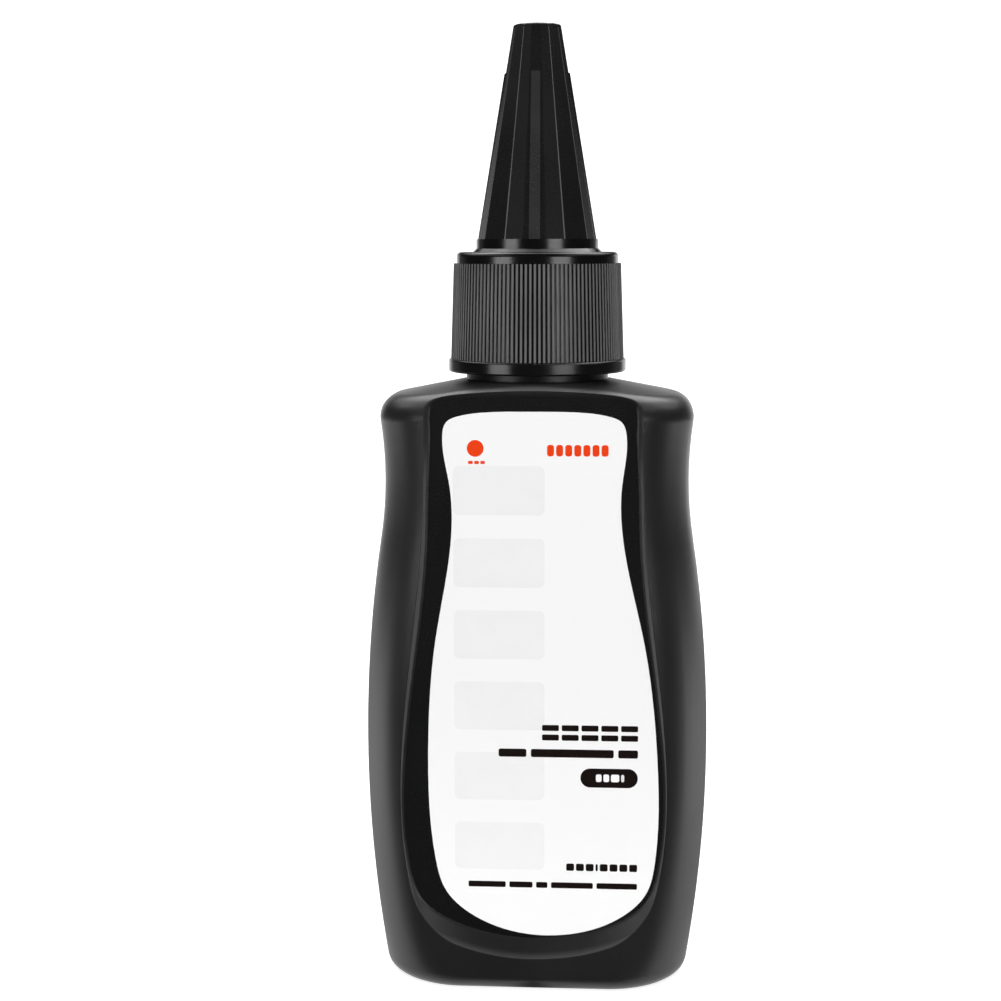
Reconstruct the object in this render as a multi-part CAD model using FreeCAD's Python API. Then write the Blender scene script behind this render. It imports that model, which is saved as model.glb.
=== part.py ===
import FreeCAD, Part
import math
import os

# Oil bottle for a bicycle suspension fork: a waisted oval squeeze bottle with a label, a ribbed screw
# collar that carries the pouring nozzle, its sealing washer and a push-on tip cover.
# Millimetres, +Z up, the label faces -Y, and the origin is the middle of the base.

# Front outline of the bottle: a belly arc that runs into a waist arc
belly_half_width = 23.3
belly_height = 32.2
waist_half_width = 20.5
waist_height = 68.7
waist_curve = 53.0

# Depth, rounding and walls of the bottle
half_depth = 13.0
side_round = 11.0
shoulder_height = 81.8
shoulder_slope_deg = 11.4
rim_round = 3.2
heel_round = 2.2
bottle_wall = 1.2
base_thickness = 2.6
push_up_margin = 5.0
push_up_draft = 2.5
push_up_depth = 1.2

# Neck of the bottle
neck_height = 14.4
neck_radius = 8.75
neck_wall = 1.3
neck_ring_radius = 9.55
neck_ring_height = 2.6
neck_ring_round = 0.4
mouth_round = 0.35

# Flat label panels, sunk into the front and the back and arched under the shoulder's round rim
panel_depth = 1.8
panel_belly_margin = 5.95
panel_flank_margin = 6.8
panel_waist_margin = 6.5
panel_foot_height = 6.9
panel_foot_rise = 9.0
panel_top_margin = 7.3
panel_top_gap = 1.6
panel_corner_height = 3.3
panel_corner_power = 5.0
panel_flare = 0.032
panel_flare_height = 45.0
panel_floor_round = 0.5

# Label, cut a little askew and stuck right of the middle
label_thickness = 0.15
label_belly_margin = 8.05
label_flank_margin = 8.85
label_flank_height = 48.0
label_join_margin = 9.65
label_waist_margin = 9.2
label_top_margin = 8.8
label_foot_height = 7.45
label_foot_rise = 10.1
label_top_gap = 3.6
label_corner_height = 3.3
label_corner_power = 3.4
label_lean = 0.025
label_shift = 0.95

# Sealing washer
washer_thickness = 1.0
washer_hole_radius = 4.6
washer_clearance = 0.15

# Screw collar
collar_height = 15.9
collar_ceiling = 1.5
collar_wall = 0.85
collar_flare = 0.42
collar_crown_height = 1.5
collar_crown_step = 0.37
collar_crown_round = 0.6
collar_band_height = 1.7
collar_band_step = 0.3
collar_band_round = 0.25
washer_pocket_depth = 2.2
washer_pocket_step = 0.9
thread_depth = 1.05
thread_clearance = 0.3
rib_count = 120
rib_height = 0.28
rib_share = 0.8

# Pouring nozzle
nozzle_length = 26.0
nozzle_seat_height = 2.6
nozzle_seat_step = 0.9
nozzle_tip_radius = 1.9
nozzle_tip_round = 0.3
nozzle_wall = 1.0
orifice_radius = 0.9
orifice_length = 3.0

# Tip cover
cover_height = 29.7
cover_base_radius = 7.84
cover_top_radius = 3.15
cover_wall = 0.9
cover_top_thickness = 1.2
cover_top_round = 0.5
cover_fit_clearance = 0.1
facet_corners_deg = (10.5, 30.0, 60.0, 79.5)
facet_bevel_deg = 0.8
facet_clear = 0.05
grip_ring_height = 1.7
grip_ring_radius = 8.2
grip_ring_flare = 0.45
cover_rib_width = 1.5
cover_rib_top_width = 1.2
cover_rib_height = 0.2
cover_rib_top_gap = 6.3
pin_clearance = 0.1
pin_depth = 1.5

# Heights, radii and slopes that follow from the sizes above
mouth_height = shoulder_height + neck_height
ceiling_height = mouth_height + washer_thickness
collar_top = ceiling_height + collar_ceiling
collar_bottom = collar_top - collar_height
collar_bore = neck_radius + thread_depth + thread_clearance
washer_pocket_radius = collar_bore - washer_pocket_step
rib_top = collar_top - collar_crown_height
rib_bottom = collar_bottom + collar_band_height
rib_top_radius = collar_bore + collar_wall + rib_height
rib_bottom_radius = rib_top_radius + collar_flare
nozzle_top = collar_top + nozzle_length
nozzle_seat_top = collar_top + nozzle_seat_height
cover_top = collar_top + cover_height
cone_foot = collar_top + grip_ring_height
cone_taper = (cover_base_radius - cover_top_radius) / (cover_top - cone_foot)
widest_facet = max(math.radians(b - a) for a, b in zip(facet_corners_deg, facet_corners_deg[1:]))
shoulder_slope = math.tan(math.radians(shoulder_slope_deg))
panel_floor = half_depth - panel_depth
overreach = 5.0
touching = 1e-3
corner_steps = 4
points_per_edge = 4


def vector(x, y, z):
    return FreeCAD.Vector(x, y, z)


def turned(profile):
    """Solid of revolution about the bottle's axis from (radius, height) points."""
    points = [vector(radius, 0, height) for radius, height in profile]
    face = Part.Face(Part.makePolygon(points + points[:1]))
    return face.revolve(vector(0, 0, 0), vector(0, 0, 1), 360)


def rounded(solid, radius, height, ring_radius):
    """Rounds the ring edge of a turned solid that lies at one height and radius."""
    edges = []
    for edge in solid.Edges:
        box = edge.BoundBox
        level = box.ZLength < touching and abs(box.ZMax - height) < touching
        if level and abs(box.XMax - ring_radius) < touching:
            edges.append(edge)
    return solid.makeFillet(radius, edges)


def turned_over(shape):
    """The same shape on the bottle's back."""
    return shape.rotated(vector(0, 0, 0), vector(0, 0, 1), 180)


def belly_curve():
    """Radius of the belly arc that runs smoothly into the waist arc."""
    step = belly_half_width - waist_half_width
    rise = waist_height - belly_height
    return (step ** 2 + rise ** 2) / (2 * step) - waist_curve


def join_height(inset):
    """Height at which the belly arc runs into the waist arc."""
    share = (belly_curve() - inset) / (belly_curve() + waist_curve)
    return belly_height + share * (waist_height - belly_height)


def half_width(height, inset):
    """Half width of the bottle's front outline, moved in by inset, at one height."""
    if height < join_height(inset):
        radius = belly_curve() - inset
        return belly_half_width - belly_curve() + math.sqrt(radius ** 2 - (height - belly_height) ** 2)
    radius = waist_curve + inset
    return waist_half_width + waist_curve - math.sqrt(radius ** 2 - (height - waist_height) ** 2)


def outline_arc(start, end, inset, side, y):
    """Arc of the front outline between two heights, on the right or the left side."""
    heights = (start, (start + end) / 2, end)
    points = [vector(side * half_width(height, inset), y, height) for height in heights]
    return Part.Arc(*points).toShape()


def roof_height(radius, inset):
    """Height of the sloping shoulder at a distance from the axis."""
    drop = inset / math.cos(math.radians(shoulder_slope_deg))
    return shoulder_height - drop - shoulder_slope * (radius - neck_ring_radius)


def rolled_block(inset, floor):
    """The front outline pushed through the bottle's depth, with its sides rolled round."""
    front = inset - half_depth
    join = join_height(inset)
    top = shoulder_height + overreach
    low = half_width(floor, inset)
    high = half_width(top, inset)
    edges = [Part.makeLine(vector(-low, front, floor), vector(low, front, floor)),
             outline_arc(floor, join, inset, 1, front),
             outline_arc(join, top, inset, 1, front),
             Part.makeLine(vector(high, front, top), vector(-high, front, top)),
             outline_arc(top, join, inset, -1, front),
             outline_arc(join, floor, inset, -1, front)]
    block = Part.Face(Part.Wire(edges)).extrude(vector(0, -2 * front, 0))
    long_edges = [edge for edge in block.Edges if isinstance(edge.Curve, Part.Circle)]
    return block.makeFillet(side_round - inset, long_edges)


def shoulder_block(inset, floor):
    """Round block wider than the bottle that ends in the sloping shoulder."""
    reach = belly_half_width + overreach
    return turned([(0, floor), (reach, floor), (reach, roof_height(reach, inset)), (0, roof_height(0, inset))])


def shoulder_edges(solid, inset):
    """Edges at which a solid's sides meet the sloping shoulder."""
    edges = []
    for edge in solid.Edges:
        middle = edge.valueAt((edge.FirstParameter + edge.LastParameter) / 2)
        radius = math.hypot(middle.x, middle.y)
        if not isinstance(edge.Curve, Part.Line) and abs(middle.z - roof_height(radius, inset)) < touching:
            edges.append(edge)
    return edges


def body_form(inset, floor):
    """The bottle's skin below the neck, moved in by inset and standing on a floor at that height."""
    form = rolled_block(inset, floor).common(shoulder_block(inset, floor)).Solids[0]
    form = form.makeFillet(rim_round - inset, shoulder_edges(form, inset))
    heel = [edge for edge in form.Edges if edge.BoundBox.ZMax < floor + touching]
    return form.makeFillet(heel_round - inset, heel)


def foot_points(hip_width, hip, foot):
    """Points along the oval foot of an outline, as (x, z) from its lowest point to its right hip."""
    angles = [math.pi / 2 * step / corner_steps for step in range(corner_steps + 1)]
    return [(hip_width * math.sin(angle), hip - (hip - foot) * math.cos(angle)) for angle in angles]


def arch_points(half_span, foot, height, power):
    """Points along the arched top of an outline, as (x, z) from its right foot to its highest point."""
    points = []
    for step in range(corner_steps + 1):
        rise = math.sin(math.pi / 2 * step / corner_steps) ** (2 / power)
        across = max(1 - rise ** power, 0) ** (1 / power)
        points.append((half_span * across, foot + height * rise))
    return points


def mirrored(half):
    """A whole outline from its right half, given from the lowest to the highest point."""
    return half + [(-x, z) for x, z in half[-2:0:-1]]


def smooth_loop(points, y):
    """Closed smooth wire through the (x, z) points of an outline in front view, cut into short edges."""
    curve = Part.BSplineCurve()
    curve.interpolate([vector(x, y, z) for x, z in points], PeriodicFlag=True)
    knots = curve.getKnots()
    stops = knots[:-1:points_per_edge] + knots[-1:]
    return Part.Wire([curve.toShape(start, end) for start, end in zip(stops, stops[1:])])


def panel_cutter(inset):
    """Block that sinks one label panel into the front, moved in by inset behind the wall."""
    floor = panel_floor - inset
    slope = panel_flare * half_width(belly_height, panel_belly_margin)
    spread = inset * (math.hypot(1, slope) - slope)
    hip = panel_foot_height + panel_foot_rise
    half = foot_points(half_width(hip, panel_belly_margin - spread), hip, panel_foot_height - spread)
    for height, margin in ((belly_height, panel_belly_margin), (join_height(0), panel_flank_margin),
                           (waist_height, panel_waist_margin)):
        half.append((half_width(height, margin - spread), height))
    corner_foot = shoulder_height - panel_top_gap - panel_corner_height
    half += arch_points(half_width(corner_foot, panel_top_margin - spread), corner_foot,
                        panel_corner_height + spread, panel_corner_power)
    back_wire = smooth_loop(mirrored(half), -floor)
    reach = half_depth + overreach - floor
    front_wire = back_wire.scaled(1 + panel_flare * reach, vector(0, -floor, panel_flare_height))
    front_wire.translate(vector(0, -reach, 0))
    cutter = Part.makeLoft([back_wire, front_wire], True, True)
    floor_edges = [edge for edge in cutter.Edges if abs(edge.BoundBox.YMin + floor) < touching]
    return cutter.makeFillet(panel_floor_round + inset, floor_edges)


def recessed_form(inset, floor):
    """The bottle's skin with the label panels sunk into its front and back."""
    cutter = panel_cutter(inset)
    return body_form(inset, floor).cut([cutter, turned_over(cutter)])


def push_up():
    """Shallow oval hollow under the base that leaves a flat ring to stand on."""
    wires = []
    for height, inset in ((0, push_up_margin), (push_up_depth, push_up_margin + push_up_draft)):
        oval = Part.Ellipse(vector(0, 0, height), half_width(0, inset), half_depth - inset)
        wires.append(Part.Wire(oval.toShape()))
    return Part.makeLoft(wires, True, True)


def bottle_body():
    """Blown bottle: recessed skin, neck with its foot ring, hollow inside."""
    root = shoulder_height - rim_round
    ring_top = shoulder_height + neck_ring_height
    ring = turned([(0, root), (neck_ring_radius, root), (neck_ring_radius, ring_top), (0, ring_top)])
    ring = rounded(ring, neck_ring_round, ring_top, neck_ring_radius)
    tube = turned([(0, root), (neck_radius, root), (neck_radius, mouth_height), (0, mouth_height)])
    tube = rounded(tube, mouth_round, mouth_height, neck_radius)
    bore_radius = neck_radius - neck_wall
    bore = turned([(0, root - bottle_wall), (bore_radius, root - bottle_wall),
                   (bore_radius, mouth_height), (0, mouth_height)])
    skin = recessed_form(0, 0).fuse([ring, tube])
    return skin.cut([recessed_form(bottle_wall, base_thickness), bore, push_up()])


def front_label():
    """Die-cut film label on the floor of the front panel."""
    hip = label_foot_height + label_foot_rise
    half = foot_points(half_width(hip, label_belly_margin), hip, label_foot_height)
    for height, margin in ((belly_height, label_belly_margin), (label_flank_height, label_flank_margin),
                           (join_height(0), label_join_margin), (waist_height, label_waist_margin)):
        half.append((half_width(height, margin), height))
    top = shoulder_height - label_top_gap
    corner_foot = top - label_corner_height
    half += arch_points(half_width(corner_foot, label_top_margin), corner_foot, label_corner_height,
                        label_corner_power)
    middle = (label_foot_height + top) / 2
    outline = [(x + label_shift + label_lean * (middle - z), z) for x, z in mirrored(half)]
    return Part.Face(smooth_loop(outline, -panel_floor)).extrude(vector(0, -label_thickness, 0))


def sealing_washer():
    """Soft ring between the bottle's mouth and the collar's ceiling."""
    rim = washer_pocket_radius - washer_clearance
    return turned([(washer_hole_radius, mouth_height), (rim, mouth_height),
                   (rim, ceiling_height), (washer_hole_radius, ceiling_height)])


def rib_wire(crest_radius, height):
    """Section through the ribbed skirt: round ribs with narrow flat grooves between them."""
    pitch = 2 * math.pi / rib_count
    groove_radius = crest_radius - rib_height
    edges = []
    for rib in range(rib_count):
        angles = [pitch * (rib + share) for share in (0, rib_share / 2, rib_share, 1)]
        radii = (groove_radius, crest_radius, groove_radius, groove_radius)
        points = [vector(radius * math.cos(angle), radius * math.sin(angle), height)
                  for radius, angle in zip(radii, angles)]
        edges.append(Part.Arc(points[0], points[1], points[2]).toShape())
        edges.append(Part.makeLine(points[2], points[3]))
    return Part.Wire(edges)


def cover_inner_radius(height):
    """Radius of the tip cover's tapered inside at one height."""
    outer = cover_base_radius - cone_taper * (height - cone_foot)
    return outer * math.cos(widest_facet / 2) - cover_wall


def nozzle_seat_radius(height):
    """Radius of the taper on which the tip cover sits."""
    return cover_inner_radius(height) - cover_fit_clearance


def spout_radius():
    """Radius of the spout where it leaves the tip cover's seat."""
    return nozzle_seat_radius(nozzle_seat_top) - nozzle_seat_step


def nozzle():
    """Tapered pouring nozzle with its seat for the tip cover."""
    spout = turned([(0, ceiling_height), (nozzle_seat_radius(collar_top), ceiling_height),
                    (nozzle_seat_radius(collar_top), collar_top),
                    (nozzle_seat_radius(nozzle_seat_top), nozzle_seat_top),
                    (spout_radius(), nozzle_seat_top), (nozzle_tip_radius, nozzle_top), (0, nozzle_top)])
    return rounded(spout, nozzle_tip_round, nozzle_top, nozzle_tip_radius)


def nozzle_channel():
    """Hollow of the nozzle, which narrows to the orifice at its tip."""
    spout_taper = (spout_radius() - nozzle_tip_radius) / (nozzle_top - nozzle_seat_top)
    throat = nozzle_top - orifice_length
    throat_radius = nozzle_tip_radius + spout_taper * orifice_length - nozzle_wall
    root_radius = spout_radius() - nozzle_wall
    return turned([(0, ceiling_height), (root_radius, ceiling_height), (root_radius, nozzle_seat_top),
                   (throat_radius, throat), (orifice_radius, throat), (orifice_radius, nozzle_top),
                   (0, nozzle_top)])


def nozzle_collar():
    """Screw collar with its ribbed skirt, lower band, crown and nozzle in one moulding."""
    rib_wires = [rib_wire(rib_bottom_radius, rib_bottom), rib_wire(rib_top_radius, rib_top)]
    sleeve = Part.makeLoft(rib_wires, True, True)
    band_radius = rib_bottom_radius + collar_band_step
    band = turned([(0, collar_bottom), (band_radius, collar_bottom),
                   (band_radius, rib_bottom), (0, rib_bottom)])
    band = rounded(band, collar_band_round, collar_bottom, band_radius)
    band = rounded(band, collar_band_round, rib_bottom, band_radius)
    crown_radius = rib_top_radius - collar_crown_step
    crown = turned([(0, rib_top), (crown_radius, rib_top), (crown_radius, collar_top), (0, collar_top)])
    crown = rounded(crown, collar_crown_round, collar_top, crown_radius)
    pocket_foot = ceiling_height - washer_pocket_depth
    hollow = turned([(0, collar_bottom), (collar_bore, collar_bottom), (collar_bore, pocket_foot),
                     (washer_pocket_radius, pocket_foot), (washer_pocket_radius, ceiling_height),
                     (0, ceiling_height)])
    return sleeve.fuse([band, crown, nozzle()]).cut([hollow, nozzle_channel()])


def facet_wire(radius, height):
    """Section through the tip cover: flat facets that meet in narrow bevels."""
    corners = []
    for quarter in range(4):
        for corner in facet_corners_deg:
            corners += [90 * quarter + corner - facet_bevel_deg, 90 * quarter + corner + facet_bevel_deg]
    points = [vector(radius * math.cos(math.radians(corner)), radius * math.sin(math.radians(corner)), height)
              for corner in corners]
    return Part.makePolygon(points + points[:1])


def cover_rib(quarter):
    """One raised rib that runs down the middle of a narrow facet."""
    rib_end = cover_top - cover_rib_top_gap
    wires = []
    for height, width in ((cone_foot, cover_rib_width), (rib_end, cover_rib_top_width)):
        radius = cover_base_radius - cone_taper * (height - cone_foot)
        flat = radius * math.cos(math.radians(facet_corners_deg[0]))
        corners = ((flat - cover_wall / 2, -width / 2), (flat + cover_rib_height, -width / 2),
                   (flat + cover_rib_height, width / 2), (flat - cover_wall / 2, width / 2))
        points = [vector(x, y, height) for x, y in corners]
        wires.append(Part.makePolygon(points + points[:1]))
    rib = Part.makeLoft(wires, True, True)
    return rib.rotated(vector(0, 0, 0), vector(0, 0, 1), 90 * quarter)


def tip_cover():
    """Push-on cover: faceted, ribbed cone on a round grip ring, with a pin that closes the nozzle."""
    facet_wires = [facet_wire(cover_base_radius, cone_foot), facet_wire(cover_top_radius, cover_top)]
    cone = Part.makeLoft(facet_wires, True, True)
    top_radius = cover_top_radius + facet_clear
    envelope = turned([(0, cone_foot), (cover_base_radius + facet_clear, cone_foot), (top_radius, cover_top),
                       (0, cover_top)])
    cone = cone.common(rounded(envelope, cover_top_round, cover_top, top_radius))
    flare_top = collar_top + grip_ring_flare
    ring = turned([(0, collar_top), (grip_ring_radius + grip_ring_flare, collar_top),
                   (grip_ring_radius, flare_top), (grip_ring_radius, cone_foot), (0, cone_foot)])
    inner_top = cover_top - cover_top_thickness
    hollow = turned([(0, collar_top), (cover_inner_radius(collar_top), collar_top),
                     (cover_inner_radius(inner_top), inner_top), (0, inner_top)])
    pin_radius = orifice_radius - pin_clearance
    pin_foot = nozzle_top - pin_depth
    pin = turned([(0, pin_foot), (pin_radius, pin_foot), (pin_radius, cover_top - cover_top_round),
                  (0, cover_top - cover_top_round)])
    ribs = [cover_rib(quarter) for quarter in range(4)]
    return cone.fuse(ribs + [ring]).cut(hollow).fuse(pin)


os.makedirs("parts", exist_ok=True)
for piece in (bottle_body, front_label, sealing_washer, nozzle_collar, tip_cover):
    shape = piece()
    shape.exportStep(f"parts/{piece.__name__}.step")
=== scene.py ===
import math
from functools import partial

import bmesh
import bpy
from bpy.props import FloatProperty, FloatVectorProperty, IntProperty, PointerProperty
from mathutils import Euler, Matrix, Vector


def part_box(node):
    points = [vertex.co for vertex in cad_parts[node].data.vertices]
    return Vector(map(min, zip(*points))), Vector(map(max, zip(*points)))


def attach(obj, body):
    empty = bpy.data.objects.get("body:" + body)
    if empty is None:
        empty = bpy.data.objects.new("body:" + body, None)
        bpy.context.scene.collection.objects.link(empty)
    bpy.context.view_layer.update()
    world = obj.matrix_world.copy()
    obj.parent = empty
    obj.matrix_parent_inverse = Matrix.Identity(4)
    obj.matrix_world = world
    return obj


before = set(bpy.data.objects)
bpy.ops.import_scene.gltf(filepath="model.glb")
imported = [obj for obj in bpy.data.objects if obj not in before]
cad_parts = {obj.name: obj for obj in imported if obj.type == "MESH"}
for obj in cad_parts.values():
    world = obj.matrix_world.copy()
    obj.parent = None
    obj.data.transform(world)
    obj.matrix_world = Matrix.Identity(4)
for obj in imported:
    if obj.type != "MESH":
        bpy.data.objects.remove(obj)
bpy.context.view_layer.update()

bl_info = {
    "name": "Fork oil bottle",
    "version": (1, 0, 0),
    "blender": (4, 5, 0),
    "location": "View3D > Sidebar > Oil Bottle",
    "description": "Dresses the packed oil bottle: plastics, screw threads, printed label and studio",
    "category": "Object",
}

# Everything is in metres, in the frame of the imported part: +Z up, the label faces -Y
MM = 0.001
WHITE = (1, 1, 1, 1)
LABEL_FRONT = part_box("front_label")[0].y

# Small distances by which masks and ridges keep clear of an edge
HAIR = 0.02 * MM
SLIVER = 0.05 * MM

# Straight pieces in the corner of a printed block and in a quarter of a round one
CORNER_STEPS = 6
ROUND_STEPS = 12


# Property helpers

def length(name, description, millimetres):
    """A length property with its default in millimetres."""
    return FloatProperty(name=name, description=description, default=millimetres * MM, subtype="DISTANCE",
                         unit="LENGTH", precision=5)


def share(name, description, value):
    """A property between nought and one."""
    return FloatProperty(name=name, description=description, default=value, min=0.0, max=1.0,
                         subtype="FACTOR")


def level(name, description, value):
    """A property from nought upwards, such as a lamp's radiance."""
    return FloatProperty(name=name, description=description, default=value, min=0.0)


def count(name, description, number):
    """A property that counts repeats."""
    return IntProperty(name=name, description=description, default=number, min=1, max=180)


def colour(name, description, red, green, blue):
    """A linear colour property."""
    return FloatVectorProperty(name=name, description=description, default=(red, green, blue), size=3,
                               min=0.0, max=1.0, subtype="COLOR")


def angle(name, description, degrees):
    """An angle property with its default in degrees."""
    return FloatProperty(name=name, description=description, default=math.radians(degrees), subtype="ANGLE",
                         unit="ROTATION")


class PlasticSettings(bpy.types.PropertyGroup):
    """Colours and finishes of the black plastics."""

    frame_colour: colour("Frame", "Colour of the bottle's textured skin", 0.0118, 0.0118, 0.0120)
    # The panel floors' darker colour is painted shade in the recessed panels; the plastic is the same as the
    # frame's
    panel_colour: colour("Panel", "Colour of the smooth panel floors", 0.0062, 0.0062, 0.0064)
    frame_roughness: share("Frame roughness", "Roughness of the bottle's textured skin", 0.34)
    panel_roughness: share("Panel roughness", "Roughness of the smooth panel floors", 0.26)
    panel_floor: length("Panel floor", "Distance of the panel floors from the middle plane", 11.2)
    edge_round: length("Edge round", "Rounding that the light sees on the panel's edges", 0.3)
    floor_reach: length("Floor reach", "How far off a panel floor its smooth finish ends", 0.25)
    skin_relief: length("Skin relief", "Height of the grain in the bottle's skin", 0.004)
    smooth_share: share("Smooth share", "Share of the grain that is left on the smooth places", 0.12)
    skin_smear: share("Skin smear", "How much rougher smears make the bottle's skin", 0.05)
    neck_foot: length("Neck foot", "Height at which the bottle's smooth neck starts", 81.6)
    neck_blend: length("Neck blend", "Height over which the skin turns into the neck's", 0.3)
    # The neck's darker colour is painted shade under the collar
    neck_colour: colour("Neck", "Colour of the bottle's neck", 0.0016, 0.0016, 0.0017)
    neck_roughness: share("Neck roughness", "Roughness of the bottle's neck", 0.36)
    # Painted highlights: a pale colour laid on the panels' inner walls, the sill under a panel, the brow and
    # shoulder over it, and the tip cover's facet edges. The brow, lip and sill settings below place these
    # painted highlights.
    edge_colour: colour("Edges", "Colour of rubbed edges", 0.100, 0.100, 0.101)
    brow_foot: length("Brow foot", "Height above which the edge over a panel is rubbed", 77.0)
    brow_blend: length("Brow blend", "Height over which the rubbing of a panel's brow sets in", 1.5)
    brow_reach: length("Brow reach", "How far to each side the edge over a panel is rubbed", 11.0)
    shoulder_share: share("Shoulder share", "Share of the brow's rubbing that is on the shoulder", 0.3)
    lip_fade: length("Lip fade", "Distance under the brow at which the rubbed lip starts to fade", 9.0)
    lip_end: length("Lip end", "Distance under the brow at which the rubbed lip has faded", 2.0)
    lip_head_share: share("Lip head share", "Share of the lip's rubbing that is left under the brow", 0.25)
    lip_foot_share: share("Lip foot share", "Share of the lip's rubbing that is left at a panel's foot", 0.2)
    sill_head: length("Sill head", "Height below which a panel's inner walls are less rubbed", 22.0)
    sill_rise: length("Sill rise", "Height over a panel floor at which the rubbed sill starts", 1.1)
    sill_crest: length("Sill crest", "Height over a panel floor of the sill's crest", 1.8)
    sill_share: share("Sill share", "Share of the rubbing on the sill's crest", 0.35)
    # Width of the painted highlight lines along the tip cover's facet edges
    edge_reach: angle("Edge reach", "Turn round the axis that a facet's rubbed edge takes up", 0.9)
    grain_size: length("Grain size", "Size of the fine grain in the bottle's skin", 0.22)
    seam_width: length("Seam width", "Width of the mould's parting line", 0.16)
    seam_lift: level("Seam lift", "Height of the parting line, in heights of the grain", 6.0)
    collar_colour: colour("Collar", "Colour of the screw collar", 0.0030, 0.0030, 0.0031)
    # A painted highlight on the collar's rib crests; the crest depth below sets how far down the ribs it
    # reaches
    crest_colour: colour("Rib crests", "Colour of the collar's rubbed rib crests", 0.118, 0.118, 0.119)
    crest_roughness: share("Crest roughness", "Roughness of the collar's rubbed rib crests", 0.45)
    crest_depth: length("Crest depth", "How far down the ribs the rubbing reaches", 0.10)
    rib_foot: length("Rib foot", "Height at which the collar's ribs start", 84.5)
    rib_head: length("Rib head", "Height at which the collar's ribs end", 97.2)
    rib_foot_radius: length("Rib foot radius", "Radius of the ribs' crests at their foot", 11.65)
    rib_head_radius: length("Rib head radius", "Radius of the ribs' crests at their head", 11.23)
    ring_top: length("Ring top", "Height at which the cover's grip ring ends", 100.4)
    collar_roughness: share("Collar roughness", "Roughness of the screw collar", 0.20)
    gloss_relief: length("Gloss relief", "Height of the waves in glossy plastic", 0.0006)
    gloss_smear: share("Gloss smear", "How much rougher smears make glossy plastic", 0.06)
    cover_colour: colour("Tip cover", "Colour of the tip cover", 0.0062, 0.0062, 0.0064)
    cover_roughness: share("Tip cover roughness", "Roughness of the tip cover", 0.26)
    # A painted highlight on the tip cover's raised ribs
    fin_colour: colour("Fins", "Colour of the tip cover's rubbed ribs", 0.021, 0.021, 0.0213)
    facet_half: angle("Facet half", "Half the turn that a wide facet takes up", 15)
    cone_top: length("Cone top", "Height at which the tip cover ends", 128.4)
    tip_margin: length("Tip margin", "Height of the tip that has no rubbed edges", 0.5)
    fin_rise: length("Fin rise", "Height over its facet at which a rib is rubbed", 0.16)
    cone_foot_flat: length("Cone foot flat", "Distance of a ribbed facet from the axis at its foot", 7.71)
    cone_top_flat: length("Cone top flat", "Distance of a ribbed facet from the axis at its top", 3.10)
    washer_colour: colour("Washer", "Colour of the sealing washer", 0.42, 0.42, 0.40)
    foam_roughness: share("Foam roughness", "Roughness of the sealing washer", 0.85)
    foam_relief: length("Foam relief", "Height of the sealing washer's pores", 0.04)


class ThreadSettings(bpy.types.PropertyGroup):
    """Sizes of the screw thread on the neck and in the collar."""

    lead: length("Lead", "Rise of the thread in one turn", 3.175)
    root_width: length("Root width", "Width of a ridge where it leaves the wall", 1.25)
    crest_width: length("Crest width", "Width of a ridge along its crest", 0.6)
    turns: FloatProperty(name="Turns", description="Turns of each thread", default=1.5, min=0.5, max=3.0)
    steps: count("Steps", "Sections in one turn", 72)
    run_out: angle("Run-out", "Turn over which a ridge fades away at its ends", 28)
    end_share: share("End share", "Share of a ridge's height that is left at its ends", 0.02)
    neck_radius: length("Neck radius", "Radius of the neck's wall", 8.75)
    neck_crest: length("Neck crest", "Radius of the neck thread's crest", 9.75)
    neck_start: length("Neck start", "Height at which the neck thread starts", 88.2)
    collar_radius: length("Collar radius", "Radius of the collar's bore", 10.1)
    collar_crest: length("Collar crest", "Radius of the collar thread's crest", 9.1)


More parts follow.
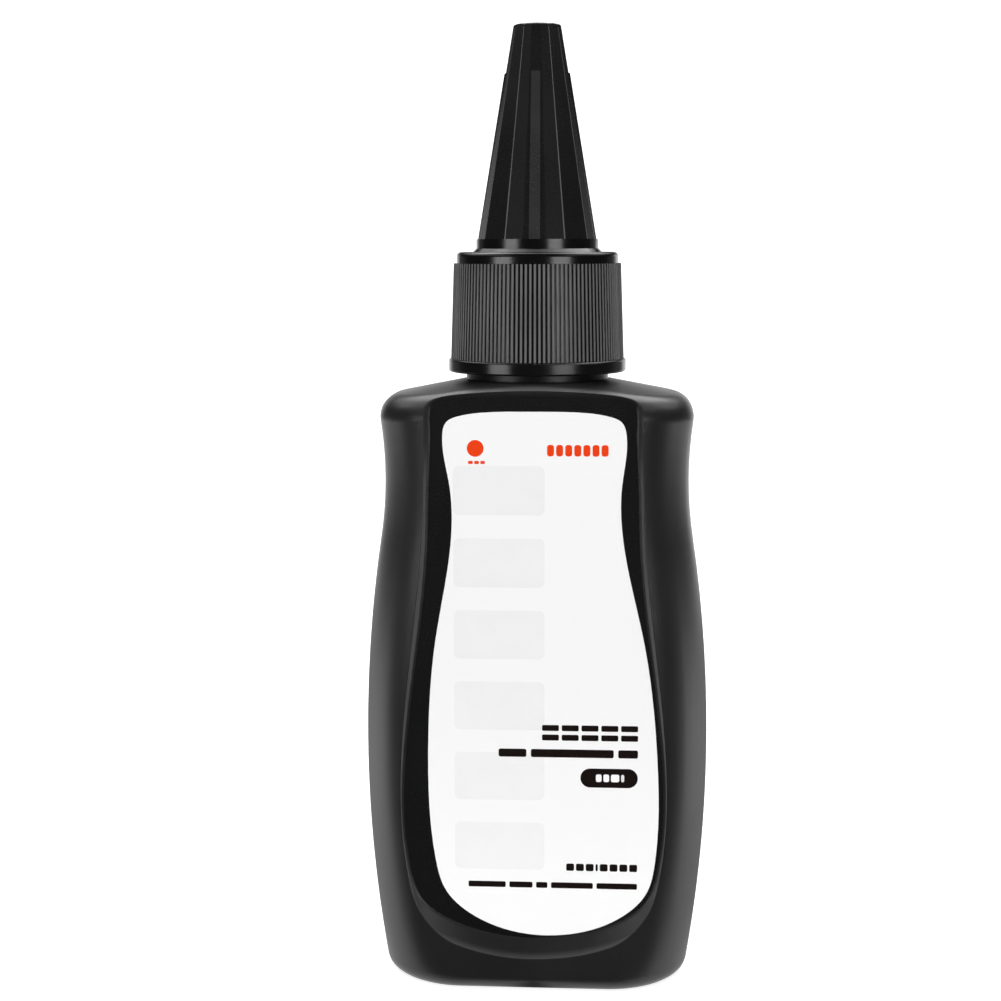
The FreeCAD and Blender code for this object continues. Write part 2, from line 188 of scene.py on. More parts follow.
class LabelSettings(bpy.types.PropertyGroup):
    """Colours and places of the plain print on the label."""

    film_colour: colour("Film", "Colour of the white label film", 0.94, 0.94, 0.94)
    dark_ink: colour("Dark ink", "Colour of the text lines and the pill", 0.0070, 0.0036, 0.0031)
    orange_ink: colour("Orange ink", "Colour of the row of blocks and the dot", 0.84, 0.050, 0.0025)
    pale_ink: colour("Pale ink", "Colour of the faint blocks", 0.870, 0.870, 0.870)
    film_roughness: share("Film roughness", "Roughness of the label film", 0.45)
    film_relief: length("Film relief", "Height of the film's faint tooth", 0.003)
    film_smear: share("Film smear", "How much darker smears make the film", 0.012)
    ink_roughness: share("Ink roughness", "Roughness of the printed ink", 0.5)
    ink_specular: share("Ink specular", "Strength of the ink's own reflection", 0.2)
    ink_height: length("Ink height", "How far the print stands off the film", 0.015)
    ink_corner: share("Ink corner", "Share of a printed block's height that rounds its corners", 0.22)
    right_edge: length("Right edge", "Line on which the print ends at its right", 13.9)
    pill_width: length("Pill width", "Width of the dark pill", 7.6)
    pill_height: length("Pill height", "Height of the dark pill", 2.6)
    pill_foot: length("Pill foot", "Height at which the dark pill starts", 28.1)
    pill_round: share("Pill round", "Share of the pill's height that rounds its corners", 0.49)
    pill_margin: share("Pill margin", "Share of the pill's height over and under its pale blocks", 0.3)
    pill_inset: length("Pill inset", "Distance of the pale blocks from the pill's right end", 1.8)
    pill_gap: length("Pill gap", "Distance between the pale blocks in the pill", 0.25)
    mark_right: length("Mark right", "Right end of the row of orange blocks", 9.8)
    mark_foot: length("Mark foot", "Height at which the orange blocks start", 72.4)
    mark_height: length("Mark height", "Height of the orange blocks", 1.5)
    mark_width: length("Mark width", "Width of an orange block", 0.9)
    mark_gap: length("Mark gap", "Distance between the orange blocks", 0.28)
    mark_count: count("Marks", "Number of orange blocks", 7)
    dot_left: length("Dot left", "Left edge of the orange dot", -8.65)
    dot_foot: length("Dot foot", "Lowest point of the orange dot", 72.3)
    dot_radius: length("Dot radius", "Radius of the orange dot", 1.1)
    dot_round: share("Dot round", "Share of the dot's radius that rounds its outline", 0.999)
    dash_right: length("Dash right", "Right end of the dashes under the dot", -6.285)
    dash_drop: length("Dash drop", "How far under the dot's lowest point the dashes start", 0.95)
    dash_width: length("Dash width", "Width of a dash under the dot", 0.6)
    dash_height: length("Dash height", "Height of the dashes under the dot", 0.4)
    dash_gap: length("Dash gap", "Distance between the dashes under the dot", 0.2)
    dash_count: count("Dashes", "Number of dashes under the dot", 3)
    block_count: count("Blocks", "Number of faint blocks", 6)
    block_left: length("Block left", "Left edge of the faint blocks", -10.5)
    block_width: length("Block width", "Width of the faint blocks", 12.0)
    block_foot: length("Block foot", "Height at which the lowest faint block starts", 16.6)
    block_pitch: length("Block pitch", "Distance from one faint block's foot to the next", 9.6)
    block_height: length("Block height", "Height of the faint blocks", 6.528)
    block_corner: length("Block corner", "Radius of the faint blocks' corners", 0.8)


class StudioSettings(bpy.types.PropertyGroup):
    """Camera and light of the studio."""

    lens: FloatProperty(name="Lens", description="Focal length of the camera", default=67.68, unit="CAMERA")
    distance: length("Distance", "Distance of the camera from the bottle's axis", 254.6)
    eye_height: length("Eye height", "Height of the camera above the floor", 100.4)
    azimuth: angle("Azimuth", "Turn of the camera round the bottle", 2.8)
    pitch: angle("Pitch", "How far the camera looks down", 7.91)
    pan: angle("Pan", "How far the camera looks past the axis", 1.132)
    roll: angle("Roll", "Roll that keeps the bottle upright", -0.15)
    near_clip: length("Near clip", "Least distance that the camera sees", 10)
    aim_height: length("Aim height", "Height of the point that the softboxes face", 70)
    fill: level("Fill", "Radiance of the large front fill", 3.7)
    front: level("Front", "Radiance of the front softboxes", 5.9)
    rim: level("Rim", "Radiance of the high softboxes behind", 1.2)
    cone: level("Cone", "Radiance of the faint cards beside the camera", 0.2)
    side: level("Side", "Radiance of the faint cards over the shoulders", 0.9)
    top: level("Top", "Radiance of the overhead softbox", 3.6)
    ambient: level("Ambient", "Radiance of the surroundings", 0.04)
    paper: share("Paper", "Brightness of the floor's paper", 0.6)
    paper_glow: level("Paper glow", "Light of the paper that only the camera sees", 0.75)
    sweep: level("Sweep", "Brightness in gloss of the near floor beside the bottle", 2.1)
    sweep_behind: level("Sweep behind", "Brightness in gloss of the near floor behind the bottle", 0.35)
    sweep_foot: share("Sweep foot", "Share of the near floor's brightness at the bottle's foot", 0.55)
    far_sweep: level("Far sweep", "Brightness in gloss of the far floor", 1.5)
    wall: level("Wall", "Brightness in gloss of the upturned edge", 1.5)
    wall_side: share("Wall side", "Share of the upturned edge's brightness at its sides", 0.1)
    sweep_front: length("Sweep front", "Front edge of the floor", -40)
    sweep_back: length("Sweep back", "Where the floor turns up behind the bottle", 420)
    sweep_rise: length("Sweep rise", "Height of the floor's upturned back edge", 240)
    sweep_half: length("Sweep half", "Half the floor's width", 700)
    sheen_centre: length("Sheen centre", "Point from which the floor's brightness in gloss is measured", -14)
    foot_reach: length("Foot reach", "Distance at which the near floor has its full brightness", 150)
    near_end: length("Near end", "Distance at which the near floor starts to turn into the far floor", 300)
    far_start: length("Far start", "Distance at which the far floor starts", 460)
    wall_core: length("Wall core", "Half width of the upturned edge at its full brightness", 200)
    wall_fade: length("Wall fade", "Half width at which the upturned edge has faded", 360)


# Node helpers

def new_group(name, inputs, outputs):
    """An empty shader node group with named sockets; inputs are (name, socket type, default)."""
    group = bpy.data.node_groups.new(name, "ShaderNodeTree")
    for socket_name, socket_type, default in inputs:
        socket = group.interface.new_socket(name=socket_name, in_out="INPUT", socket_type=socket_type)
        if default is not None:
            socket.default_value = default
    for socket_name, socket_type in outputs:
        group.interface.new_socket(name=socket_name, in_out="OUTPUT", socket_type=socket_type)
    return group


class NodeBench:
    """Places nodes in a tree and wires them by socket names."""

    def __init__(self, tree):
        self.tree = tree

    def add(self, kind, settings=None, **sockets):
        """Adds a node, sets its properties and its input sockets; a linked input is an output socket."""
        node = self.tree.nodes.new(kind)
        for key, value in (settings or {}).items():
            setattr(node, key, value)
        for key, value in sockets.items():
            self.put(node, key.replace("_", " "), value)
        return node

    def put(self, node, name, value):
        """Sets or links one input socket, found by its name or its number."""
        socket = node.inputs[int(name)] if name.isdigit() else node.inputs[name]
        if isinstance(value, bpy.types.NodeSocket):
            self.tree.links.new(value, socket)
        else:
            socket.default_value = value

    def math(self, operation, *values):
        """A math node on two or three values or sockets."""
        node = self.tree.nodes.new("ShaderNodeMath")
        node.operation = operation
        for number, value in enumerate(values):
            self.put(node, str(number), value)
        return node.outputs[0]

    def ramp(self, value, low, high, to_low=0.0, to_high=1.0):
        """Maps a value smoothly from one range onto another."""
        node = self.add("ShaderNodeMapRange", {"interpolation_type": "SMOOTHSTEP"}, Value=value,
                        From_Min=low, From_Max=high, To_Min=to_low, To_Max=to_high)
        return node.outputs["Result"]

    def slope(self, value, low, high, to_low, to_high):
        """Maps a value in a straight line from one range onto another."""
        node = self.add("ShaderNodeMapRange", Value=value, From_Min=low, From_Max=high, To_Min=to_low,
                        To_Max=to_high)
        return node.outputs["Result"]

    def product(self, *values):
        """The product of two or more values or sockets."""
        result = values[0]
        for value in values[1:]:
            result = self.math("MULTIPLY", result, value)
        return result

    def absolute(self, value):
        """A value without its sign."""
        return self.math("ABSOLUTE", value)

    def reach(self, first, second):
        """The distance that two sides at a right angle span."""
        squares = self.math("ADD", self.math("POWER", first, 2.0), self.math("POWER", second, 2.0))
        return self.math("SQRT", squares)

    def parts(self, vector):
        """The X, Y and Z sockets of a vector."""
        return self.add("ShaderNodeSeparateXYZ", Vector=vector).outputs

    def blend(self, factor, first, second):
        """Mixes two colours by a factor."""
        node = self.add("ShaderNodeMix", {"data_type": "RGBA"})
        self.put(node, "0", factor)
        self.put(node, "6", first)
        self.put(node, "7", second)
        return node.outputs[2]

    def mixed(self, factor, first, second):
        """Mixes two values by a factor."""
        node = self.add("ShaderNodeMix", {"data_type": "FLOAT"})
        self.put(node, "0", factor)
        self.put(node, "2", first)
        self.put(node, "3", second)
        return node.outputs[0]

    def noise(self, position, scale, detail, roughness=0.5):
        """A noise value over the surface."""
        node = self.add("ShaderNodeTexNoise", Vector=position, Scale=scale, Detail=detail,
                        Roughness=roughness)
        return node.outputs["Fac"]


def opaque(rgb):
    """A colour property as four numbers."""
    return (rgb[0], rgb[1], rgb[2], 1.0)


def moulded_grain():
    """Fine grain and slow waves of a moulded skin: a height, a tone and a change of roughness."""
    name = "moulded grain"
    if name in bpy.data.node_groups:
        return bpy.data.node_groups[name]
    group = new_group(name,
                      [("Position", "NodeSocketVector", None), ("Grain Scale", "NodeSocketFloat", 4500.0),
                       ("Wave Scale", "NodeSocketFloat", 90.0), ("Wave Share", "NodeSocketFloat", 0.3)],
                      [("Height", "NodeSocketFloat"), ("Tone", "NodeSocketFloat"),
                       ("Rough Shift", "NodeSocketFloat")])
    bench = NodeBench(group)
    given = bench.add("NodeGroupInput").outputs
    grain = bench.noise(given["Position"], given["Grain Scale"], 2.0, 0.6)
    wave = bench.noise(given["Position"], given["Wave Scale"], 2.0, 0.4)
    height = bench.math("ADD", bench.math("MULTIPLY", wave, given["Wave Share"]), grain)
    tone = bench.ramp(wave, 0.3, 0.7, 0.88, 1.12)
    rough_shift = bench.math("MULTIPLY_ADD", grain, 0.08, -0.04)
    result = bench.add("NodeGroupOutput")
    bench.put(result, "Height", height)
    bench.put(result, "Tone", tone)
    bench.put(result, "Rough Shift", rough_shift)
    return group


def handling_marks():
    """Faint smears that handling leaves on a smooth surface, as a mask."""
    name = "handling marks"
    if name in bpy.data.node_groups:
        return bpy.data.node_groups[name]
    group = new_group(name,
                      [("Position", "NodeSocketVector", None), ("Smear Scale", "NodeSocketFloat", 70.0)],
                      [("Mask", "NodeSocketFloat")])
    bench = NodeBench(group)
    given = bench.add("NodeGroupInput").outputs
    stretched = bench.add("ShaderNodeVectorMath", {"operation": "MULTIPLY"})
    bench.put(stretched, "0", given["Position"])
    bench.put(stretched, "1", (1.0, 1.0, 0.45))
    smear = bench.noise(stretched.outputs[0], given["Smear Scale"], 4.0, 0.55)
    result = bench.add("NodeGroupOutput")
    bench.put(result, "Mask", bench.ramp(smear, 0.48, 0.72))
    return group


def surface_bench(name):
    """A new material with its shader, its bench and the object's own coordinates."""
    material = bpy.data.materials.new(name)
    material.use_nodes = True
    tree = material.node_tree
    bench = NodeBench(tree)
    shader = tree.nodes["Principled BSDF"]
    coordinates = bench.add("ShaderNodeTexCoord")
    return material, bench, shader, coordinates


def grain_over(bench, place, grain, wave, wave_share):
    """The outputs of the moulded grain, with the scales of its grain and its waves."""
    node = bench.add("ShaderNodeGroup", {"node_tree": moulded_grain()}, Position=place, Grain_Scale=grain,
                     Wave_Scale=wave, Wave_Share=wave_share)
    return node.outputs


def smears_over(bench, place, scale):
    """The mask of the handling marks at a scale."""
    node = bench.add("ShaderNodeGroup", {"node_tree": handling_marks()}, Position=place, Smear_Scale=scale)
    return node.outputs["Mask"]


def bump(bench, height, distance, normal=None):
    """A bump node's normal for a height over the surface."""
    node = bench.add("ShaderNodeBump", Height=height, Distance=distance)
    if normal:
        bench.put(node, "Normal", normal)
    return node.outputs["Normal"]


def scaled_colour(bench, rgb, tone):
    """A colour that a tone brightens and darkens over the surface."""
    node = bench.add("ShaderNodeVectorMath", {"operation": "SCALE"})
    bench.put(node, "0", rgb)
    bench.put(node, "Scale", tone)
    return node.outputs[0]


# Materials

def floor_mask(bench, settings, depth, facing):
    """Where the bottle's surface is a flat panel floor."""
    off_floor = bench.absolute(bench.math("SUBTRACT", depth, settings.panel_floor))
    near_floor = bench.ramp(off_floor, HAIR, settings.floor_reach, 1.0, 0.0)
    flat = bench.ramp(bench.absolute(facing["Y"]), 0.93, 0.995)
    return bench.product(near_floor, flat)


def lip_mask(bench, settings, axes, depth, facing):
    """Where a painted highlight lies on a panel's inner walls: fully at mid height, less under the brow and
    at the foot.
    """
    floor = settings.panel_floor
    inward = bench.math("MULTIPLY", facing["X"], bench.math("SIGN", axes["X"]))
    wall = bench.ramp(inward, -0.45, -0.15, 1.0, 0.0)
    off_floor = bench.ramp(depth, floor + SLIVER, floor + settings.floor_reach)
    under_brow = bench.ramp(axes["Z"], settings.brow_foot - settings.lip_fade,
                            settings.brow_foot - settings.lip_end, 1.0, settings.lip_head_share)
    over_sill = bench.ramp(axes["Z"], 0.4 * settings.sill_head, settings.sill_head,
                           settings.lip_foot_share, 1.0)
    return bench.product(wall, off_floor, under_brow, over_sill)


def ledge_mask(bench, settings, axes, depth, facing):
    """Where a painted highlight lies on upward edges: the sill's crest under a panel, and the brow and
    shoulder over it.
    """
    floor = settings.panel_floor
    upward = bench.ramp(facing["Z"], 0.15, 0.45)
    high = bench.ramp(axes["Z"], settings.brow_foot, settings.brow_foot + settings.brow_blend)
    crest = bench.ramp(depth, floor + settings.sill_rise, floor + settings.sill_crest, 0.0,
                       settings.sill_share)
    sill = bench.product(bench.math("SUBTRACT", 1.0, high), crest)
    steep = bench.ramp(facing["Z"], 0.86, 0.965, 1.0, settings.shoulder_share)
    middle = bench.ramp(bench.absolute(axes["X"]), 0.25 * settings.brow_reach, settings.brow_reach, 1.0, 0.0)
    brow = bench.product(high, steep, middle)
    return bench.product(upward, bench.math("MAXIMUM", sill, brow))


def bottle_plastic(settings):
    """Satin skin with fine grain, painted highlights on the panels' edges, smoother panel floors and neck
    darkened by painted shade, and the parting line.
    """
    material, bench, shader, coordinates = surface_bench("bottle plastic")
    place = coordinates.outputs["Object"]
    axes = bench.parts(place)
    facing = bench.parts(coordinates.outputs["Normal"])
    depth = bench.absolute(axes["Y"])
    floor = floor_mask(bench, settings, depth, facing)
    neck = bench.ramp(axes["Z"], settings.neck_foot, settings.neck_foot + settings.neck_blend)
    # Painted highlights on the panels' inner walls, sills, brow and shoulder
    painted_highlight = bench.math("MAXIMUM", lip_mask(bench, settings, axes, depth, facing),
                        ledge_mask(bench, settings, axes, depth, facing))
    grain = grain_over(bench, place, grain=1 / settings.grain_size, wave=60.0, wave_share=0.5)
    smears = smears_over(bench, place, 55.0)
    # The panel floors get a darker colour as painted shade
    base = bench.blend(floor, opaque(settings.frame_colour), opaque(settings.panel_colour))
    base = bench.blend(painted_highlight, base, opaque(settings.edge_colour))
    # The neck gets a darker colour as painted shade under the collar
    base = bench.blend(neck, base, opaque(settings.neck_colour))
    bench.put(shader, "Base Color", scaled_colour(bench, base, grain["Tone"]))
    rough = bench.mixed(floor, settings.frame_roughness, settings.panel_roughness)
    rough = bench.mixed(neck, rough, settings.neck_roughness)
    rough = bench.math("ADD", rough, grain["Rough Shift"])
    bench.put(shader, "Roughness", bench.math("MULTIPLY_ADD", smears, settings.skin_smear, rough))
    smooth = bench.math("MAXIMUM", floor, neck)
    skin = bench.product(grain["Height"], bench.mixed(smooth, 1.0, settings.smooth_share))
    seam = bench.ramp(depth, 0.3 * settings.seam_width, settings.seam_width, settings.seam_lift, 0.0)
    softened = bench.add("ShaderNodeBevel", {"samples": 6}, Radius=settings.edge_round)
    relief = bench.math("ADD", skin, seam)
    bench.put(shader, "Normal", bump(bench, relief, settings.skin_relief, softened.outputs["Normal"]))
    shader.inputs["IOR"].default_value = 1.50
    return material


def gloss_plastic(name, settings, grain_scale, paint):
    """Smooth injection-moulded plastic with faint flow waves; paint gives its colour and roughness."""
    material, bench, shader, coordinates = surface_bench(name)
    place = coordinates.outputs["Object"]
    grain = grain_over(bench, place, grain=grain_scale, wave=150.0, wave_share=0.6)
    smears = smears_over(bench, place, 90.0)
    base, rough = paint(bench, bench.parts(place))
    bench.put(shader, "Base Color", scaled_colour(bench, base, grain["Tone"]))
    rough = bench.math("MULTIPLY_ADD", smears, settings.gloss_smear, rough)
    bench.put(shader, "Roughness", bench.math("ADD", rough, grain["Rough Shift"]))
    bench.put(shader, "Normal", bump(bench, grain["Height"], settings.gloss_relief))
    shader.inputs["IOR"].default_value = 1.49
    return material


def collar_plastic(settings):
    """Glossy collar whose rib crests carry a painted highlight: a paler colour with a rougher satin finish.
    """

    def paint(bench, axes):
        out = bench.reach(axes["X"], axes["Y"])
        crest = bench.slope(axes["Z"], settings.rib_foot, settings.rib_head, settings.rib_foot_radius,
                            settings.rib_head_radius)
        below = bench.math("SUBTRACT", crest, out)
        over_foot = bench.math("GREATER_THAN", axes["Z"], settings.rib_foot + SLIVER)
        under_head = bench.math("LESS_THAN", axes["Z"], settings.rib_head - HAIR)
        # Painted highlight on the rib crests, paler and rougher
        painted_highlight = bench.product(bench.ramp(below, 0.0, settings.crest_depth, 1.0, 0.0), over_foot, under_head)
        base = bench.blend(painted_highlight, opaque(settings.collar_colour), opaque(settings.crest_colour))
        return base, bench.mixed(painted_highlight, settings.collar_roughness, settings.crest_roughness)

    return gloss_plastic("collar plastic", settings, 3500.0, paint)


def cover_plastic(settings):
    """Satin cone of the tip cover with painted highlights on its ribs and facet edges, on its polished grip
    ring.
    """

    def paint(bench, axes):
        ring = bench.math("LESS_THAN", axes["Z"], settings.ring_top)
        across, along = bench.absolute(axes["X"]), bench.absolute(axes["Y"])
        facet = bench.slope(axes["Z"], settings.ring_top, settings.cone_top, settings.cone_foot_flat,
                            settings.cone_top_flat)
        over_facet = bench.math("SUBTRACT", bench.math("MAXIMUM", across, along), facet)
        # Painted highlight on the raised ribs
        fin_highlight = bench.ramp(over_facet, 0.5 * settings.fin_rise, settings.fin_rise)
        turn = bench.math("ARCTAN2", along, across)
        from_middle = bench.absolute(bench.math("SUBTRACT", turn, math.pi / 4))
        from_edge = bench.absolute(bench.math("SUBTRACT", from_middle, settings.facet_half))
        under_tip = bench.math("LESS_THAN", axes["Z"], settings.cone_top - settings.tip_margin)
        # Painted highlight lines along the facet edges
        line = bench.ramp(from_edge, 0.5 * settings.edge_reach, settings.edge_reach, 1.0, 0.0)
        base = bench.blend(fin_highlight, opaque(settings.cover_colour), opaque(settings.fin_colour))
        base = bench.blend(bench.product(line, under_tip), base, opaque(settings.edge_colour))
        base = bench.blend(ring, base, opaque(settings.collar_colour))
        return base, bench.mixed(ring, settings.cover_roughness, settings.collar_roughness)

    return gloss_plastic("cover plastic", settings, 4200.0, paint)


def washer_foam(settings):
    """Matt grey foam of the sealing washer."""
    material, bench, shader, coordinates = surface_bench("washer foam")
    place = coordinates.outputs["Object"]
    grain = grain_over(bench, place, grain=3000.0, wave=500.0, wave_share=0.8)
    bench.put(shader, "Base Color", scaled_colour(bench, settings.washer_colour, grain["Tone"]))
    bench.put(shader, "Roughness", bench.math("ADD", grain["Rough Shift"], settings.foam_roughness))
    bench.put(shader, "Normal", bump(bench, grain["Height"], settings.foam_relief))
    return material


def label_film(settings):
    """White film with a faint tooth, a little greyer where handling has touched it."""
    material, bench, shader, coordinates = surface_bench("label film")
    place = coordinates.outputs["Object"]
    grain = grain_over(bench, place, grain=2600.0, wave=45.0, wave_share=0.8)
    smears = smears_over(bench, place, 40.0)
    tone = bench.math("MULTIPLY_ADD", smears, -settings.film_smear, 1.0)
    bench.put(shader, "Base Color", scaled_colour(bench, settings.film_colour, tone))
    bench.put(shader, "Roughness", bench.math("ADD", grain["Rough Shift"], settings.film_roughness))
    bench.put(shader, "Normal", bump(bench, grain["Height"], settings.film_relief))
    return material


def printing_ink(name, settings, rgb):
    """Printed ink, slightly uneven where the film shows through."""
    material, bench, shader, coordinates = surface_bench(name)
    place = coordinates.outputs["Object"]
    grain = grain_over(bench, place, grain=5200.0, wave=300.0, wave_share=0.5)
    tone = bench.ramp(grain["Height"], 0.4, 1.0, 0.98, 1.02)
    bench.put(shader, "Base Color", scaled_colour(bench, rgb, tone))
    bench.put(shader, "Roughness", bench.math("ADD", grain["Rough Shift"], settings.ink_roughness))
    shader.inputs["Specular IOR Level"].default_value = settings.ink_specular
    return material


# Mesh helpers

def mesh_piece(name, build, material, body):
    """A new piece from a bmesh builder, shaded, given its slot and set riding on a body."""
    mesh = bpy.data.meshes.new(name)
    work = bmesh.new()
    build(work)
    bmesh.ops.recalc_face_normals(work, faces=work.faces)
    work.to_mesh(mesh)
    work.free()
    mesh.materials.append(material)
    piece = bpy.data.objects.new(name, mesh)
    bpy.context.scene.collection.objects.link(piece)
    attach(piece, body)
    return piece


def dress(node, material):
    """Gives a carried-over node its material."""
    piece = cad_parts[node]
    piece.data.materials.clear()
    piece.data.materials.append(material)
    return piece


def helical_ridge(work, thread, wall, crest, start):
    """A screw ridge from its wall to its crest radius, fading out at both ends."""
    steps = round(thread.turns * thread.steps)
    whole = 2 * math.pi * thread.turns
    sink = SLIVER if crest < wall else -SLIVER
    rings = []
    for step in range(steps + 1):
        turn = whole * step / steps
        fade = min(turn, whole - turn) / thread.run_out
        fade = math.sin(math.pi / 2 * min(fade, 1.0))
        height = start + thread.lead * turn / (2 * math.pi)
        top = wall + (crest - wall) * max(fade, thread.end_share)
        profile = ((wall + sink, -thread.root_width / 2), (wall, -thread.root_width / 2),
                   (top, -thread.crest_width / 2), (top, thread.crest_width / 2),
                   (wall, thread.root_width / 2), (wall + sink, thread.root_width / 2))
        rings.append([work.verts.new((radius * math.cos(turn), radius * math.sin(turn), height + rise))
                      for radius, rise in profile])
    for lower, upper in zip(rings, rings[1:]):
        for number in range(len(lower)):
            after = (number + 1) % len(lower)
            work.faces.new((lower[number], lower[after], upper[after], upper[number]))
    work.faces.new(rings[0])
    work.faces.new(rings[-1])


def printed_patch(work, outline, lift):
    """A flat patch of ink on the label from its outline in front view."""
    front = LABEL_FRONT - lift
    near = [work.verts.new((x, front, z)) for x, z in outline]
    far = [work.verts.new((x, LABEL_FRONT, z)) for x, z in outline]
    work.faces.new(near)
    for number in range(len(outline)):
        after = (number + 1) % len(outline)
        work.faces.new((near[number], near[after], far[after], far[number]))


def rounded_bar(left, right, bottom, top, corner, steps=CORNER_STEPS):
    """Outline of a bar with round corners, in metres."""
    points = []
    for x, z, start in ((right - corner, bottom + corner, -90), (right - corner, top - corner, 0),
                        (left + corner, top - corner, 90), (left + corner, bottom + corner, 180)):
        for step in range(steps + 1):
            turn = math.radians(start + 90 * step / steps)
            points.append((x + corner * math.cos(turn), z + corner * math.sin(turn)))
    return points


def print_row(work, right, foot, height, gap, widths, corner, lift):
    """A row of small printed blocks that ends at its right edge; corner is a share of their height."""
    for width in reversed(widths):
        printed_patch(work, rounded_bar(right - width, right, foot, foot + height, corner * height), lift)
        right -= width + gap


# Rows of dark print in millimetres: foot, height, gap and the widths of the blocks from left to right
DARK_ROWS = ((35.75, 0.8, 0.38, [2.24] * 5),
             (34.45, 0.8, 0.38, [2.24] * 5),
             (32.15, 1.1, 0.6, [3.7, 11.0, 2.6]),
             (16.55, 1.0, 0.26, [1.05] * 3 + [0.3] + [1.05] * 4),
             (14.1, 0.8, 0.5, [5.0, 3.1, 1.5, 5.6, 5.4]))

# Widths of the pale blocks in the pill, in millimetres
PILL_MARKS = (0.75, 0.75, 1.1, 0.4)


# Operators

class OILBOTTLE_OT_bottle(bpy.types.Operator):
    """Gives the blown bottle its satin skin, its smooth panels and the neck's thread"""

    bl_idname = "oilbottle.bottle"
    bl_label = "Bottle"

    def execute(self, context):
        settings = context.scene.oilbottle_plastic
        material = bottle_plastic(settings)
        dress("bottle_body", material)
        thread = context.scene.oilbottle_thread

        def neck_thread(work):
            helical_ridge(work, thread, thread.neck_radius, thread.neck_crest, thread.neck_start)

        mesh_piece("neck_thread", neck_thread, material, "bottle")
        return {"FINISHED"}


class OILBOTTLE_OT_cap(bpy.types.Operator):
    """Dresses the screw collar with its inner thread, the washer and the tip cover"""

    bl_idname = "oilbottle.cap"
    bl_label = "Collar, washer and tip cover"

    def execute(self, context):
        settings = context.scene.oilbottle_plastic
        thread = context.scene.oilbottle_thread
        collar = collar_plastic(settings)
        dress("nozzle_collar", collar)
        dress("tip_cover", cover_plastic(settings))
        dress("sealing_washer", washer_foam(settings))

        def collar_thread(work):
            start = thread.neck_start - thread.lead / 2
            helical_ridge(work, thread, thread.collar_radius, thread.collar_crest, start)

        mesh_piece("collar_thread", collar_thread, collar, "collar")
        return {"FINISHED"}


class OILBOTTLE_OT_label(bpy.types.Operator):
    """Gives the label its film and its plain print"""

    bl_idname = "oilbottle.label"
    bl_label = "Label and print"

    def execute(self, context):
        settings = context.scene.oilbottle_label
        dress("front_label", label_film(settings))
        for name, build, rgb in (("dark_print", self.dark_print, settings.dark_ink),
                                 ("white_print", self.white_print, settings.film_colour),
                                 ("orange_print", self.orange_print, settings.orange_ink),
                                 ("pale_print", self.pale_print, settings.pale_ink)):
            ink = printing_ink(name.replace("_", " "), settings, rgb)
            mesh_piece(name, partial(build, settings), ink, "bottle")
        return {"FINISHED"}

    def dark_print(self, settings, work):
        """Rows of dark blocks and the dark pill."""
        right, lift = settings.right_edge, settings.ink_height
        for foot, height, gap, widths in DARK_ROWS:
            print_row(work, right, foot * MM, height * MM, gap * MM, [width * MM for width in widths],
                      settings.ink_corner, lift)
        pill = rounded_bar(right - settings.pill_width, right, settings.pill_foot,
                           settings.pill_foot + settings.pill_height,
                           settings.pill_round * settings.pill_height, ROUND_STEPS)
        printed_patch(work, pill, lift)

    def white_print(self, settings, work):
        """Pale blocks that lie on the dark pill."""
        margin = settings.pill_margin * settings.pill_height
        print_row(work, settings.right_edge - settings.pill_inset, settings.pill_foot + margin,
                  settings.pill_height - 2 * margin, settings.pill_gap, [width * MM for width in PILL_MARKS],
                  settings.ink_corner, 1.5 * settings.ink_height)

    def orange_print(self, settings, work):
        """A row of orange blocks, and a dot with dashes under it."""
        lift, foot, left = settings.ink_height, settings.dot_foot, settings.dot_left
        print_row(work, settings.mark_right, settings.mark_foot, settings.mark_height, settings.mark_gap,
                  [settings.mark_width] * settings.mark_count, settings.ink_corner, lift)
        across = 2 * settings.dot_radius
        dot = rounded_bar(left, left + across, foot, foot + across, settings.dot_round * settings.dot_radius,
                          ROUND_STEPS)
        printed_patch(work, dot, lift)
        print_row(work, settings.dash_right, foot - settings.dash_drop, settings.dash_height,
                  settings.dash_gap, [settings.dash_width] * settings.dash_count, settings.ink_corner, lift)

    def pale_print(self, settings, work):
        """A column of faint blocks, thinner than the other print."""
        left = settings.block_left
        for row in range(settings.block_count):
            foot = settings.block_foot + row * settings.block_pitch
            block = rounded_bar(left, left + settings.block_width, foot, foot + settings.block_height,
                                settings.block_corner)
            printed_patch(work, block, 0.5 * settings.ink_height)


# Softboxes: name, radiance setting, azimuth and elevation in degrees, distance, width and height in metres
SOFTBOXES = (("fill_front", "fill", 0, 20, 0.9, 0.9, 0.7),
             ("front_left", "front", -47, 1, 0.6, 0.28, 0.095),
             ("front_right", "front", 36, 1, 0.6, 0.28, 0.095),
             ("rim_left", "rim", -124, 46, 0.5, 0.4, 0.32),
             ("rim_right", "rim", 130, 46, 0.5, 0.4, 0.32),
             ("overhead", "top", 180, 66, 0.5, 0.6, 0.45),
             ("side_left", "side", -80, 44, 0.6, 0.6, 0.26),
             ("side_right", "side", 80, 44, 0.6, 0.6, 0.26),
             ("cone_left", "cone", -43, 16, 0.6, 0.22, 0.12),
             ("cone_right", "cone", 38, 16, 0.6, 0.22, 0.12))

# The fill lights the label and the edges, and would only wash out what gloss shows
UNSEEN_IN_GLOSS = ("fill_front",)


